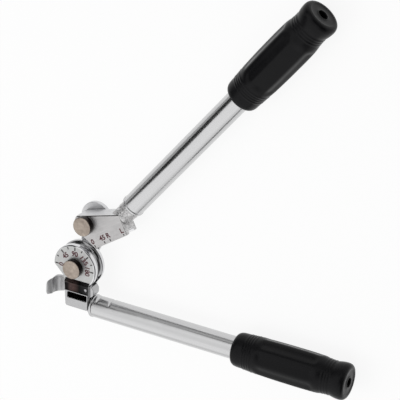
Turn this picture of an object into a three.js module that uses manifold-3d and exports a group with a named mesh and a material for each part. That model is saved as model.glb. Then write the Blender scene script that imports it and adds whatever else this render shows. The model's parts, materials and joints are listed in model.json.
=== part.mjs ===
// Lever tube bender for 3/8 inch tube, lying on a bench with its scale face up.
// Lengths are in millimetres, X runs along the lower handle and Z is up.
// The origin is on the axis of the main pin, at the bench plane.
// The handles, the former and the shoe share one middle plane, and every piece is
// drawn about that plane before the whole tool is lifted onto the bench.

import * as THREE from 'three';
import { mergeVertices } from 'three/addons/utils/BufferGeometryUtils.js';
import Module from 'manifold-3d';

// Driving sizes of the bend
const tubeDiameter = 9.5;
const bendRadius = 23.8;
const grooveClearance = 0.15;
const flangeShortfall = 0.5;
const shoePinHeight = 25.4;
const headWidth = 18.8;

// Rest pose, in degrees, seen from above
const linkAngle = 77.7;
const shoeAngle = 34.4;
const shoeToHandleAngle = 17.4;

// Clearances
const seatGap = 0.3;
const boreGap = 0.2;
const axialPlay = 0.1;
const cutOverrun = 2;
const weldDistance = 0.0001;

// Former, the grooved wheel with the degree scale on its face
const formerBevel = 1.8;
// The hollow of its heel, as shares of its radius, down to a straight wall beside the latch pin
const heelHollowShares = [[-1.02, 0], [-0.94, -0.06], [-0.53, -0.45]];
const heelWallShare = 0.72;
const heelToLatchPin = 1.08;
const footToHinge = 4.7;
const footRight = 12.5;
const footBelowRim = 0.3;

// Pivot pins with flat heads, and what holds them
const pinRadius = 5;
const pinHeadRadius = 9.5;
const pinHeadHeight = 6.4;
const pinHeadBevel = 0.8;
const pinTipBevel = 0.6;
const washerRadius = 9;
const thrustWasherThickness = 0.6;
const washerThickness = 1;
const ringThickness = 1;
const ringOuterRadius = 6.8;
const ringGrooveDepth = 1.2;
const ringMouthAngle = 70;
const ringToothAngle = 25;
const ringStepAngle = 10;
const ringReliefShare = 0.35;

// Link plate between the two pins
const linkThickness = 4.5;
const linkLowerRadius = 13;
const linkUpperRadius = 16;
const linkWaistLeft = 10.5;
const linkWaistRight = 14.5;
const linkBevel = 0.6;
const linkLean = 40;

// Handle head, the forked casting that carries the former.
// Its heights are measured from the lowest point of the former's rim, up or down.
const headAboveRim = 8.1;
const headBelowRim = 17.7;
const headToHinge = 3.2;
const headLeftTaper = 2;
const headRight = 17.4;
const lobeInsideRim = 1.3;
const lobeBelowRim = 4.1;
const lobeRadius = 5;
const lobeRear = 1.5;
const frontCheek = 2.9;
const rearCheek = 2.6;
const headBevel = 0.9;
const cheekSlope = 2.2;
const rearCornerWidth = 3.8;
const rearCornerHeight = 10;
const windowWall = 4.3;
const windowRight = 16;
const windowBelowRim = 2.3;
const windowHeight = 6;
const windowDepth = 17;
const windowCorner = 1;
const dowelRadius = 2;
const dowelInset = 4.5;
const dowelAboveRim = 3.7;
const dowelBite = 14;

// Latch that holds the fixed leg of the tube
const latchAboveRim = 1.3;
const knuckleLength = 12;
const hingeToTube = 11.1;
const hingeInset = 2;
const knuckleRadius = 3.3;
const knuckleStart = 80;
const knuckleEnd = -90;
const latchPinRadius = 1.6;
const latchGrip = 0.35;
const latchWall = 4.2;
const lipReach = 3.4;
const lipThickness = 2.8;
const lipSplay = 24;
const lipFoot = 158;
const wrapStart = 262;
const wrapEnd = 190;
const wrapInnerEnd = 285;
const lugLength = 3;
const latchPinProud = 0.5;
// The hook seen from the front, as shares of its reach from the hinge and of its knuckle's length.
const hookOutlineShares = [
  [-0.2, 0], [0.55, 0], [0.8, -0.03], [0.95, -0.25], [1.02, -0.55], [1.03, -1.1],
  [0.98, -1.36], [0.86, -1.46], [0.7, -1.4], [0.35, -1.2], [0.2, -1.02], [-0.2, -1],
];

// Handles
const handleBelowRim = 16.1;
const handleOffset = 18.7;
const handleRadius = 11;
const handleWall = 1.8;
const handleRim = 0.5;
const handleRimLength = 3;
const shankLength = 36;
const lowerTubeStart = 17.7;
const upperTubeStart = 50;
const lowerGripStart = 172.2;
const upperGripStart = 215.6;
const dentSpacing = 13.7;
const dentFirst = 6.6;
const dentRadius = 1.5;
const dentDepth = 0.8;
const dentHalfAngle = 42;

// Shoe, the grooved slide that presses the tube round the former
const shoeEndRadius = 12;
const shoeTopHeight = 9.1;
const shoeTopSlope = 18.8;
const shoeHeel = 2.3;
const shoeToe = 38.5;
const shoeShoulder = 41;
const shoeToeHeight = 9.9;
const shoeToeLean = 1;
const shoeBevel = 0.8;
const neckRadius = 9.3;

// Grips
const gripLength = 114.5;
const gripRadius = 18.3;
const gripEndWall = 6;
const gripHoleRadius = 4.6;
const fluteCount = 8;
const fluteDepth = 1.1;
const fluteStartShare = 0.235;
const fluteEndShare = 0.765;
const fluteFadeShare = 0.05;
// Each pair is a place along the grip and a radius, as shares of its length and radius.
const gripProfileShares = [
  [0, 0.74], [0.012, 0.83], [0.03, 0.88], [0.06, 0.9], [0.095, 0.905],
  [0.112, 0.885], [0.124, 0.92], [0.136, 0.895], [0.148, 0.93], [0.16, 0.905], [0.172, 0.945],
  [0.186, 0.92],
  [0.205, 0.955], [0.235, 0.967], [0.26, 0.974], [0.285, 0.981], [0.33, 0.988], [0.42, 0.996], [0.55, 1],
  [0.64, 0.998], [0.7, 0.988], [0.735, 0.98], [0.765, 0.966], [0.8, 0.94],
  [0.818, 0.9], [0.83, 0.92], [0.842, 0.885], [0.854, 0.905], [0.866, 0.875], [0.885, 0.895],
  [0.91, 0.935], [0.935, 0.955], [0.96, 0.955], [0.98, 0.93], [0.993, 0.88], [1, 0.8],
];

// Facet counts
const roundSides = 24;
const formerSides = 72;
const gripSides = 32;
const grooveSteps = 10;
const linkSteps = 10;
const cornerSteps = 6;
const smallCornerSteps = 3;
const dentSides = 8;

// Sizes worked out from those above
const grooveRadius = tubeDiameter / 2 + grooveClearance;
const formerRadius = bendRadius - flangeShortfall;
const linkLength = bendRadius + shoePinHeight;
const halfWidth = headWidth / 2;
const thrustWasherFront = halfWidth + axialPlay;
const linkFront = thrustWasherFront + thrustWasherThickness + axialPlay;
const linkRear = linkFront + linkThickness;
const washerFront = linkRear + axialPlay;
const ringFront = washerFront + washerThickness;
const middleHeight = gripRadius;
const hingeX = bendRadius - hingeToTube;
const hingeDrop = halfWidth - hingeInset;
const footLeft = hingeX - footToHinge;
const footDepth = formerRadius + footBelowRim;
const headLeft = hingeX - headToHinge;
const headTop = formerRadius - headAboveRim;
const headBottom = formerRadius + headBelowRim;
const lobeRight = formerRadius - lobeInsideRim;
const lobeBottom = formerRadius + lobeBelowRim;
const windowLeft = headLeft - windowWall;
const windowTop = formerRadius + windowBelowRim;
const dowelLeft = footLeft - dowelInset;
const dowelRight = footRight - dowelInset;
const dowelDrop = formerRadius - dowelAboveRim;
const latchTop = formerRadius - latchAboveRim;
const handleDrop = formerRadius + handleBelowRim;
const handleBore = handleRadius - handleWall;
const shankRadius = handleBore - boreGap;
const dowelPlaces = [[-dowelLeft, -dowelDrop], [dowelRight, -dowelDrop]];
const rad = THREE.MathUtils.degToRad;

const wasm = await Module();
wasm.setup();

// Solids

function solid(geometry) {
  const bare = geometry.index ? geometry.toNonIndexed() : geometry.clone();
  bare.deleteAttribute('normal');
  bare.deleteAttribute('uv');
  const merged = mergeVertices(bare, weldDistance);
  const mesh = new wasm.Mesh({
    numProp: 3,
    vertProperties: new Float32Array(merged.attributes.position.array),
    triVerts: new Uint32Array(merged.index.array),
  });
  return new wasm.Manifold(mesh);
}

function pieceMesh(name, body, material) {
  const { numProp, vertProperties, triVerts } = body.getMesh();
  const geometry = new THREE.BufferGeometry();
  const places = new Float32Array((vertProperties.length / numProp) * 3);
  for (let i = 0; i < places.length / 3; i += 1) {
    for (let k = 0; k < 3; k += 1) places[3 * i + k] = vertProperties[numProp * i + k];
  }
  geometry.setAttribute('position', new THREE.BufferAttribute(places, 3));
  geometry.setIndex(new THREE.BufferAttribute(new Uint32Array(triVerts), 1));
  geometry.computeVertexNormals();
  const mesh = new THREE.Mesh(geometry, material);
  mesh.name = name;
  return mesh;
}

// A closed profile of [radius, height] points turned about Z.
function turned(points, sides = roundSides) {
  const profile = points.map(([r, z]) => new THREE.Vector2(r, z));
  return solid(new THREE.LatheGeometry(profile, sides).rotateX(Math.PI / 2));
}

function roundBar(radius, low, high, x = 0, y = 0, sides = roundSides) {
  const bar = new THREE.CylinderGeometry(radius, radius, high - low, sides).rotateX(Math.PI / 2);
  return solid(bar.translate(x, y, (low + high) / 2));
}

function block(x0, x1, y0, y1, z0, z1) {
  const box = new THREE.BoxGeometry(x1 - x0, y1 - y0, z1 - z0);
  return solid(box.translate((x0 + x1) / 2, (y0 + y1) / 2, (z0 + z1) / 2));
}

function outline(points) {
  return new THREE.Shape(points.map(([x, y]) => new THREE.Vector2(x, y)));
}

// An outline raised from low to high, with an optional bevel on both faces.
function plate(shape, low, high, bevel = 0, curveSegments = 12) {
  const geometry = new THREE.ExtrudeGeometry(shape, {
    depth: high - low - 2 * bevel,
    bevelEnabled: bevel > 0,
    bevelThickness: bevel,
    bevelSize: bevel,
    bevelOffset: -bevel,
    bevelSegments: 1,
    curveSegments,
  });
  return solid(geometry.translate(0, 0, low + bevel));
}

function arcPoints(cx, cy, radius, from, to, steps) {
  return Array.from({ length: steps + 1 }, (_, i) => {
    const angle = rad(from + ((to - from) * i) / steps);
    return [cx + radius * Math.cos(angle), cy + radius * Math.sin(angle)];
  });
}

// Materials

function metal(color, roughness, metalness = 1) {
  return new THREE.MeshStandardMaterial({ color, roughness, metalness });
}

const chrome = metal('#d3d5d8', 0.18);
const satinChrome = metal('#c6c8cb', 0.34);
const satinCasting = metal('#b9bbbd', 0.42);
const pinSteel = metal('#8f8880', 0.3);
const plainSteel = metal('#9da0a3', 0.4);
const blackGrip = metal('#1b1b1c', 0.55, 0);

// Former

function formerProfile() {
  const mouth = Math.acos(-flangeShortfall / grooveRadius);
  const start = 180 - THREE.MathUtils.radToDeg(Math.PI - mouth);
  const groove = arcPoints(bendRadius, 0, grooveRadius, 360 - start, start, grooveSteps);
  const bore = pinRadius + boreGap;
  return [
    [bore, -halfWidth],
    [formerRadius - formerBevel, -halfWidth],
    [formerRadius, formerBevel - halfWidth],
    ...groove,
    [formerRadius, halfWidth - formerBevel],
    [formerRadius - formerBevel, halfWidth],
    [bore, halfWidth],
    [bore, -halfWidth],
  ];
}

function dowelHole(x, y) {
  const low = -halfWidth - rearCheek - cutOverrun;
  return roundBar(dowelRadius + boreGap, low, dowelBite - halfWidth + seatGap, x, y);
}

function former() {
  let body = turned(formerProfile(), formerSides);
  const foot = block(-footLeft, footRight, -footDepth, -formerRadius / 2, -halfWidth, halfWidth);
  body = body.add(foot);
  const wall = hingeX - latchPinRadius - heelToLatchPin;
  const heel = outline([
    ...heelHollowShares.map(([x, y]) => [x * formerRadius, y * formerRadius]),
    [-wall, -heelWallShare * formerRadius],
    [-wall, -footDepth - cutOverrun],
    [-2 * formerRadius, -footDepth - cutOverrun],
    [-2 * formerRadius, 0],
  ]);
  body = body.subtract(plate(heel, -headWidth, headWidth));
  for (const [x, y] of dowelPlaces) body = body.subtract(dowelHole(x, y));
  return pieceMesh('former_wheel', body, satinCasting);
}

// Pins, washers and rings

function pivotPin(name) {
  const ringLand = ringFront + ringThickness + axialPlay;
  const necked = pinRadius - ringGrooveDepth;
  const headSeat = halfWidth + axialPlay;
  const points = [
    [0, -middleHeight],
    [pinRadius - pinTipBevel, -middleHeight],
    [pinRadius, pinTipBevel - middleHeight],
    [pinRadius, -ringLand],
    [necked, -ringLand],
    [necked, -ringFront],
    [pinRadius, -ringFront],
    [pinRadius, headSeat],
    [pinHeadRadius, headSeat],
    [pinHeadRadius, headSeat + pinHeadHeight - pinHeadBevel],
    [pinHeadRadius - pinHeadBevel, headSeat + pinHeadHeight],
    [0, headSeat + pinHeadHeight],
  ];
  return pieceMesh(name, turned(points), pinSteel);
}

function washer(name, front, thickness) {
  const bore = pinRadius + boreGap;
  const points = [
    [bore, -front - thickness],
    [washerRadius, -front - thickness],
    [washerRadius, -front],
    [bore, -front],
    [bore, -front - thickness],
  ];
  return pieceMesh(name, turned(points), plainSteel);
}

// A snap ring with a mouth and three teeth, which grip the pin in its groove.
function snapRing(name) {
  const tooth = pinRadius - ringGrooveDepth + boreGap;
  const relief = tooth + ringReliefShare * (pinRadius - tooth);
  const mouth = ringMouthAngle / 2;
  const lip = mouth + ringToothAngle;
  const back = 180 - ringToothAngle / 2;
  const shape = outline([
    ...arcPoints(0, 0, ringOuterRadius, mouth, 360 - mouth, roundSides),
    ...arcPoints(0, 0, tooth, 360 - mouth, 360 - lip, 4),
    ...arcPoints(0, 0, relief, 360 - lip - ringStepAngle, 360 - back + ringStepAngle, 6),
    ...arcPoints(0, 0, tooth, 360 - back, back, 3),
    ...arcPoints(0, 0, relief, back - ringStepAngle, lip + ringStepAngle, 6),
    ...arcPoints(0, 0, tooth, lip, mouth, 4),
  ]);
  return pieceMesh(name, plate(shape, -ringFront - ringThickness, -ringFront), plainSteel);
}

// Link plate, drawn along X with the main pin at zero

function link() {
  const [[startX, startY]] = arcPoints(0, 0, linkLowerRadius, linkLean, linkLean, 1);
  const [[endX, endY]] = arcPoints(linkLength, 0, linkUpperRadius, 180 - linkLean, 180 - linkLean, 1);
  const shape = new THREE.Shape();
  shape.moveTo(startX, -startY);
  shape.quadraticCurveTo(linkLength / 2, -linkWaistRight, endX, -endY);
  shape.absarc(linkLength, 0, linkUpperRadius, rad(linkLean - 180), rad(180 - linkLean), false);
  shape.quadraticCurveTo(linkLength / 2, linkWaistLeft, startX, startY);
  shape.absarc(0, 0, linkLowerRadius, rad(linkLean), rad(360 - linkLean), false);
  let body = plate(shape, -linkRear, -linkFront, linkBevel, linkSteps);
  for (const x of [0, linkLength]) {
    body = body.subtract(roundBar(pinRadius + boreGap, -linkRear - cutOverrun, -linkFront + cutOverrun, x));
  }
  return pieceMesh('link_plate', body, satinCasting);
}

// Handle head

function headOutline() {
  return outline([
    [-headLeft, -headTop],
    [-headLeft + headLeftTaper, -headBottom],
    [headRight, -headBottom],
    [headRight, -headTop],
  ]);
}

// An XZ outline drawn out along Y from -top down to -bottom.
function alongHead(points, top, bottom) {
  const geometry = new THREE.ExtrudeGeometry(outline(points), { depth: bottom - top, bevelEnabled: false });
  return solid(geometry.rotateX(Math.PI / 2).translate(0, -top, 0));
}

// The sloped corner behind the neck of the handle
function rearCorner() {
  const rear = -halfWidth - rearCheek;
  const corner = [
    [headRight + cutOverrun, rear - cutOverrun],
    [headRight + cutOverrun, rear + rearCornerHeight],
    [headRight, rear + rearCornerHeight],
    [headRight - rearCornerWidth, rear],
    [headRight - rearCornerWidth, rear - cutOverrun],
  ];
  return alongHead(corner, headTop - cutOverrun, headBottom + cutOverrun);
}

function lobe() {
  const right = lobeRight - lobeRadius;
  const shape = outline([
    [0, -headTop],
    [0, -lobeBottom],
    ...arcPoints(right, -lobeBottom + lobeRadius, lobeRadius, -90, 0, cornerSteps),
    ...arcPoints(right, -headTop - lobeRadius, lobeRadius, 0, 90, cornerSteps),
  ]);
  return plate(shape, -lobeRear, halfWidth, headBevel);
}

function hingeLugs() {
  const first = latchTop - seatGap - lugLength;
  const second = latchTop + knuckleLength + seatGap;
  const lug = [
    ...arcPoints(-hingeX, -hingeDrop, knuckleRadius, 90, 270, 12),
    [0, -hingeDrop - knuckleRadius],
    [0, -hingeDrop + knuckleRadius],
  ];
  return [first, second].map((top) => alongHead(lug, top, top + lugLength));
}

// A round bar on the axis of the latch pin, from -top downwards
function alongHinge(radius, top, length) {
  const bar = new THREE.CylinderGeometry(radius, radius, length, roundSides);
  return solid(bar.translate(-hingeX, -top - length / 2, -hingeDrop));
}

function headWindow() {
  const left = windowCorner - windowLeft;
  const right = windowRight - windowCorner;
  const top = -windowTop - windowCorner;
  const bottom = windowCorner - windowTop - windowHeight;
  const shape = outline([
    ...arcPoints(right, top, windowCorner, 0, 90, smallCornerSteps),
    ...arcPoints(left, top, windowCorner, 90, 180, smallCornerSteps),
    ...arcPoints(left, bottom, windowCorner, 180, 270, smallCornerSteps),
    ...arcPoints(right, bottom, windowCorner, 270, 360, smallCornerSteps),
  ]);
  const front = halfWidth + frontCheek;
  return plate(shape, front - windowDepth, front + cutOverrun);
}

function handleHead() {
  const front = halfWidth + frontCheek;
  const rear = halfWidth + rearCheek;
  let body = plate(headOutline(), -rear, front, headBevel).subtract(rearCorner()).add(lobe());
  for (const lug of hingeLugs()) body = body.add(lug);
  const shankStart = headRight - cutOverrun;
  const shank = roundBar(shankRadius, 0, lowerTubeStart + shankLength - shankStart)
    .rotate([0, 90, 0])
    .translate([shankStart, -handleDrop, 0]);
  body = body.add(shank);

  const slot = halfWidth + axialPlay;
  const slotBottom = -footDepth - seatGap;
  const pocket = block(-footLeft - seatGap, footRight + seatGap, slotBottom, cutOverrun, -slot, slot);
  const openLeft = block(-headLeft - cutOverrun, -footLeft, -headTop - footLeft, cutOverrun, -slot, slot);
  body = body.subtract(pocket).subtract(openLeft);
  body = body.subtract(roundBar(formerRadius + seatGap, -slot, slot, 0, 0, formerSides));

  const slope = outline([
    [-headTop + cutOverrun, front + cutOverrun],
    [-headTop + cutOverrun, front - cheekSlope / 2],
    [-headTop, front - cheekSlope / 2],
    [-windowTop + headBevel, front],
    [-windowTop + headBevel, front + cutOverrun],
  ]);
  const slopeLength = lobeRight + headLeft + 2 * cutOverrun;
  const slopeCut = new THREE.ExtrudeGeometry(slope, { depth: slopeLength, bevelEnabled: false });
  slopeCut.rotateY(Math.PI / 2).rotateX(Math.PI / 2).translate(-headLeft - cutOverrun, 0, 0);
  body = body.subtract(solid(slopeCut));

  body = body.subtract(headWindow());
  for (const [x, y] of dowelPlaces) body = body.subtract(dowelHole(x, y));
  const knuckleSpace = knuckleLength + 2 * seatGap;
  body = body.subtract(alongHinge(knuckleRadius + seatGap, latchTop - seatGap, knuckleSpace));
  body = body.subtract(alongHinge(latchPinRadius + boreGap, headTop, headBottom - headTop + cutOverrun));
  return pieceMesh('handle_head', body, chrome);
}

function formerDowel(index) {
  const [x, y] = dowelPlaces[index];
  const body = roundBar(dowelRadius, -halfWidth - rearCheek, dowelBite - halfWidth, x, y);
  return pieceMesh(`former_dowel_${index + 1}`, body, plainSteel);
}

// Latch, a hook that comes round the back and the outer side of the tube

function latch() {
  const inner = grooveRadius + latchGrip;
  const outer = inner + latchWall;
  const [foot] = arcPoints(-bendRadius, 0, inner, lipFoot, lipFoot, 1);
  const [rise] = arcPoints(0, 0, lipReach, lipFoot - lipSplay, lipFoot - lipSplay, 1);
  const [across] = arcPoints(0, 0, lipThickness, 180 - lipSplay, 180 - lipSplay, 1);
  const tip = [foot[0] + rise[0], foot[1] + rise[1]];
  const profile = [
    ...arcPoints(-hingeX, -hingeDrop, knuckleRadius, knuckleStart, knuckleEnd, 10),
    ...arcPoints(-bendRadius, 0, outer, wrapStart, wrapEnd, 9),
    [tip[0] + across[0], tip[1] + across[1] / 2],
    [tip[0] + across[0] / 2, tip[1] + across[1]],
    tip,
    ...arcPoints(-bendRadius, 0, inner, lipFoot, wrapInnerEnd, 10),
  ];
  const body = alongHead(profile, latchTop - cutOverrun, latchTop + 2 * knuckleLength);
  const reach = bendRadius + outer - hingeX;
  const front = hookOutlineShares.map(([x, y]) => [-hingeX - x * reach, y * knuckleLength - latchTop]);
  const trimmed = body.intersect(plate(outline(front), -headWidth, headWidth));
  const bore = alongHinge(latchPinRadius + boreGap, headTop, headBottom);
  return pieceMesh('latch', trimmed.subtract(bore), chrome);
}

function latchPin() {
  const top = latchTop - seatGap - lugLength - latchPinProud;
  const length = knuckleLength + 2 * (seatGap + lugLength + latchPinProud);
  return pieceMesh('latch_pin', alongHinge(latchPinRadius, top, length), pinSteel);
}

// Handle tubes, drawn along X from the head end of the tube

function handleTube(name, length, dents) {
  const points = [
    [handleBore, 0],
    [handleRadius, 0],
    [handleRadius + handleRim, handleRim],
    [handleRadius + handleRim, handleRimLength - handleRim],
    [handleRadius, handleRimLength],
    [handleRadius, length],
    [handleBore, length],
    [handleBore, 0],
  ];
  let body = turned(points, gripSides).rotate([0, 90, 0]);
  for (const place of dents) body = body.subtract(dent(place));
  return pieceMesh(name, body, satinChrome);
}

// A short staking dent across the +y side of the tube, part of a ring with round ends.
function dent(place) {
  const reach = handleRadius + dentRadius - dentDepth;
  const side = reach * Math.sin(rad(dentHalfAngle));
  const rise = reach * Math.cos(rad(dentHalfAngle));
  const ring = new THREE.TorusGeometry(reach, dentRadius, dentSides, 3 * dentSides);
  let cutter = solid(ring.rotateY(Math.PI / 2));
  cutter = cutter.intersect(block(-handleRadius, handleRadius, -side, side, 0, 2 * handleRadius));
  for (const y of [-side, side]) {
    const ball = new THREE.SphereGeometry(dentRadius, dentSides, dentSides / 2);
    cutter = cutter.add(solid(ball.translate(0, y, rise)));
  }
  return cutter.rotate([-90, 0, 0]).translate([place, 0, 0]);
}

// Grips, one surface of rings with the flutes pressed into it

function fluteShare(place, angle) {
  const rise = THREE.MathUtils.smoothstep(place, fluteStartShare, fluteStartShare + fluteFadeShare);
  const fall = 1 - THREE.MathUtils.smoothstep(place, fluteEndShare - fluteFadeShare, fluteEndShare);
  const wave = 0.5 - 0.5 * Math.cos(fluteCount * angle);
  return rise * fall * wave ** 0.8;
}

function grip(name, tubeEnd) {
  const rings = gripProfileShares.map(([place, share]) => {
    return { at: place * gripLength, radius: share * gripRadius, place };
  });
  const bore = handleRadius + axialPlay;
  rings.push({ at: gripLength, radius: gripHoleRadius });
  rings.push({ at: tubeEnd + seatGap, radius: gripHoleRadius });
  rings.push({ at: tubeEnd + seatGap, radius: bore });
  rings.push({ at: 0, radius: bore });
  const corner = (ring, side) => {
    const angle = (2 * Math.PI * side) / gripSides;
    const pressed = ring.place === undefined ? 0 : fluteDepth * fluteShare(ring.place, angle);
    const radius = ring.radius - pressed;
    return [ring.at, radius * Math.cos(angle), radius * Math.sin(angle)];
  };
  const triangles = [];
  rings.forEach((ring, i) => {
    const next = rings[(i + 1) % rings.length];
    for (let side = 0; side < gripSides; side += 1) {
      const a = corner(ring, side);
      const b = corner(ring, (side + 1) % gripSides);
      const c = corner(next, (side + 1) % gripSides);
      const d = corner(next, side);
      triangles.push(...a, ...b, ...c, ...a, ...c, ...d);
    }
  });
  const geometry = new THREE.BufferGeometry();
  geometry.setAttribute('position', new THREE.Float32BufferAttribute(triangles, 3));
  return pieceMesh(name, solid(geometry), blackGrip);
}

function handle(name, tubeStart, gripStart, dents = []) {
  const group = new THREE.Group();
  const tubeLength = gripStart + gripLength - gripEndWall - tubeStart;
  const tube = handleTube(`${name}_tube`, tubeLength, dents);
  const cover = grip(`${name}_grip`, gripLength - gripEndWall);
  tube.position.x = tubeStart;
  cover.position.x = gripStart;
  group.add(tube, cover);
  return group;
}

// Shoe, drawn with the tube line along X and the shoe pin at zero

function shoeOutline() {
  const edge = -shoePinHeight + flangeShortfall;
  const corner = [-shoeHeel, edge];
  const reach = Math.hypot(...corner);
  const toCorner = THREE.MathUtils.radToDeg(Math.atan2(corner[1], corner[0]));
  const spread = THREE.MathUtils.radToDeg(Math.acos(shoeEndRadius / reach));
  const topAngle = 90 - shoeTopSlope + THREE.MathUtils.radToDeg(Math.acos(shoeTopHeight / shoeEndRadius));
  const slope = rad(shoeTopSlope);
  const shoulder = (shoeTopHeight - shoeShoulder * Math.sin(slope)) / Math.cos(slope);
  return outline([
    corner,
    [shoeToe, edge],
    [shoeToe + shoeToeLean, edge + shoeToeHeight],
    [shoeShoulder, shoulder],
    ...arcPoints(0, 0, shoeEndRadius, topAngle, toCorner - spread + 360, 12),
  ]);
}

function shoe() {
  let body = plate(shoeOutline(), -halfWidth, halfWidth, shoeBevel);
  const neckStart = shoeToe - handleOffset;
  const neck = roundBar(neckRadius, neckStart, upperTubeStart - seatGap, 0, 0, gripSides);
  const shank = roundBar(shankRadius, neckStart, upperTubeStart + shankLength, 0, 0, gripSides);
  const stem = neck.add(shank).rotate([0, 90, 0]).translate([0, -handleOffset, 0]);
  body = body.add(stem.rotate([0, 0, shoeToHandleAngle]));
  const grooveLength = 2 * shoeToe + 2 * cutOverrun;
  const groove = roundBar(grooveRadius, -grooveLength, grooveLength, 0, 0, 2 * grooveSteps)
    .rotate([0, 90, 0])
    .translate([0, -shoePinHeight, 0]);
  body = body.subtract(groove);
  body = body.subtract(roundBar(pinRadius + boreGap, -headWidth, headWidth));
  return pieceMesh('shoe', body, satinCasting);
}

// Assembly

function lowerHandleGroup() {
  const group = new THREE.Group();
  group.add(former(), pivotPin('main_pin'));
  group.add(washer('main_thrust_washer', thrustWasherFront, thrustWasherThickness));
  group.add(washer('main_washer', washerFront, washerThickness));
  group.add(snapRing('main_snap_ring'));
  group.add(handleHead(), formerDowel(0), formerDowel(1));
  group.add(latch(), latchPin());
  const lower = handle('lower', lowerTubeStart, lowerGripStart, [dentFirst, dentFirst + dentSpacing]);
  lower.position.y = -handleDrop;
  group.add(lower);
  return group;
}

function upperHandleGroup() {
  const group = new THREE.Group();
  const upper = handle('upper', upperTubeStart, upperGripStart);
  const lean = rad(shoeToHandleAngle);
  upper.position.set(handleOffset * Math.sin(lean), -handleOffset * Math.cos(lean), 0);
  upper.rotation.z = rad(shoeToHandleAngle);
  group.add(shoe(), upper);
  group.rotation.z = rad(shoeAngle);
  return group;
}

function linkGroup() {
  const group = new THREE.Group();
  const atShoePin = new THREE.Group();
  atShoePin.add(pivotPin('shoe_pin'));
  atShoePin.add(washer('shoe_thrust_washer', thrustWasherFront, thrustWasherThickness));
  atShoePin.add(washer('shoe_washer', washerFront, washerThickness));
  atShoePin.add(snapRing('shoe_snap_ring'));
  atShoePin.position.x = linkLength;
  group.add(link(), atShoePin);
  group.rotation.z = rad(linkAngle);
  return group;
}

const bender = new THREE.Group();
const upperHandle = upperHandleGroup();
upperHandle.position.set(linkLength * Math.cos(rad(linkAngle)), linkLength * Math.sin(rad(linkAngle)), 0);
bender.add(lowerHandleGroup(), linkGroup(), upperHandle);
bender.position.z = middleHeight;

export default bender;
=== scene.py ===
# %% [markdown]
# A lever tube bender in chrome, with two black grips. The tool lies open on a pale
# table, scale face up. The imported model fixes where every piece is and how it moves,
# so this notebook only gives each piece its fine surface and its finish. The exact
# solids are coarse facets. Each visible piece is modelled again here at the same
# size, with the rounded edges, dents, ribs and flutes that catch the light.

# %% Load the frame
import json
import math
import bmesh
import bpy
from mathutils import Matrix, Vector, noise


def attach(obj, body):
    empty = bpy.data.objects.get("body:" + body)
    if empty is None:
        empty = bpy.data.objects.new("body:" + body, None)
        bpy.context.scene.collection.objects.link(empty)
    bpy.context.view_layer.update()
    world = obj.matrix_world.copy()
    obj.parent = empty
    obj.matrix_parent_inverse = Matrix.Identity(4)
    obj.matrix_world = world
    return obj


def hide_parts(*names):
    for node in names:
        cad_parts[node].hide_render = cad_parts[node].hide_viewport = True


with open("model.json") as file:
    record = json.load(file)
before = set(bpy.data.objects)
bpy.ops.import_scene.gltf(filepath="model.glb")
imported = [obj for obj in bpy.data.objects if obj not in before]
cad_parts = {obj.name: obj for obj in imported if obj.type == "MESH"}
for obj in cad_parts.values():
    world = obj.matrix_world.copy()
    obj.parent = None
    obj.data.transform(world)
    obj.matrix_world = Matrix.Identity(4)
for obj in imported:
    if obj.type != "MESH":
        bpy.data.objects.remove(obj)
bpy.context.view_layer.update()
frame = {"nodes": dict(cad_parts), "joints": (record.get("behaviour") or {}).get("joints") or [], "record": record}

print("exact pieces in the frame:", len(frame["nodes"]))

# %% [markdown]
# The frame gives the three hinge axes, and a few driving sizes give the rest. All
# lengths are real ones: the tool suits 9.5 mm tube. Each half of the tool has a frame
# of its own here, drawn flat about its middle plane, and is set in place at the end.

# %% Driving sizes and places
MM = 0.001
joints = {joint["name"]: joint for joint in frame["joints"]}
main_pin_place = Vector(joints["link_swing"]["pos_m"])
shoe_pin_place = Vector(joints["shoe_pivot"]["pos_m"])
middle = main_pin_place.z
link_length = (shoe_pin_place - main_pin_place).length

bend_radius = 23.8 * MM
groove_radius = 4.9 * MM
former_radius = 23.3 * MM
half_width = 9.4 * MM
shoe_pin_height = link_length - bend_radius
play = 0.1 * MM
gap = 0.3 * MM

shoe_turn = math.radians(34.4)
handle_turn = math.radians(17.4)
handle_drop = 39.4 * MM
handle_offset = 18.7 * MM
handle_radius = 11 * MM
lower_tube_start = 17.7 * MM
upper_tube_start = 50 * MM
lower_grip_start = 172.2 * MM
upper_grip_start = 215.6 * MM
grip_length = 114.5 * MM
grip_radius = middle
shank_length = 36 * MM

at_main_pin = Matrix.Translation(main_pin_place)
at_shoe_pin = Matrix.Translation(shoe_pin_place)
at_shoe = at_shoe_pin @ Matrix.Rotation(shoe_turn, 4, "Z")
along_link = at_main_pin @ Matrix.Rotation(math.atan2(shoe_pin_place.y, shoe_pin_place.x), 4, "Z")
# Lays a turned piece down: its axis runs along X and its own X points up.
lay_down = Matrix(((0, 0, 1, 0), (0, -1, 0, 0), (1, 0, 0, 0), (0, 0, 0, 1)))
at_lower_handle = at_main_pin @ Matrix.Translation((0, -handle_drop, 0)) @ lay_down
handle_line = Matrix.Rotation(handle_turn, 4, "Z") @ Matrix.Translation((0, -handle_offset, 0))
at_upper_handle = at_shoe @ handle_line @ lay_down
print("link length: %.1f mm" % (link_length / MM))

# %% [markdown]
# The camera stands where the photographer stood. It was worked out from the edges of
# the tubes, the pins and the grips in the photograph: a long lens, from up and behind
# the open ends of the handles.

# %% Camera
camera_place = Vector((726.6, 696.8, 1211.4)) * MM + Vector((0, 0, middle))
image_right = Vector((0.88302, 0.05618, -0.46597))
image_up = Vector((-0.23419, 0.91312, -0.33371))
towards_camera = Vector((0.40674, 0.40379, 0.81946))
focal_pixels = 1626.7
picture_pixels = 400
sensor_width = 36

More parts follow.
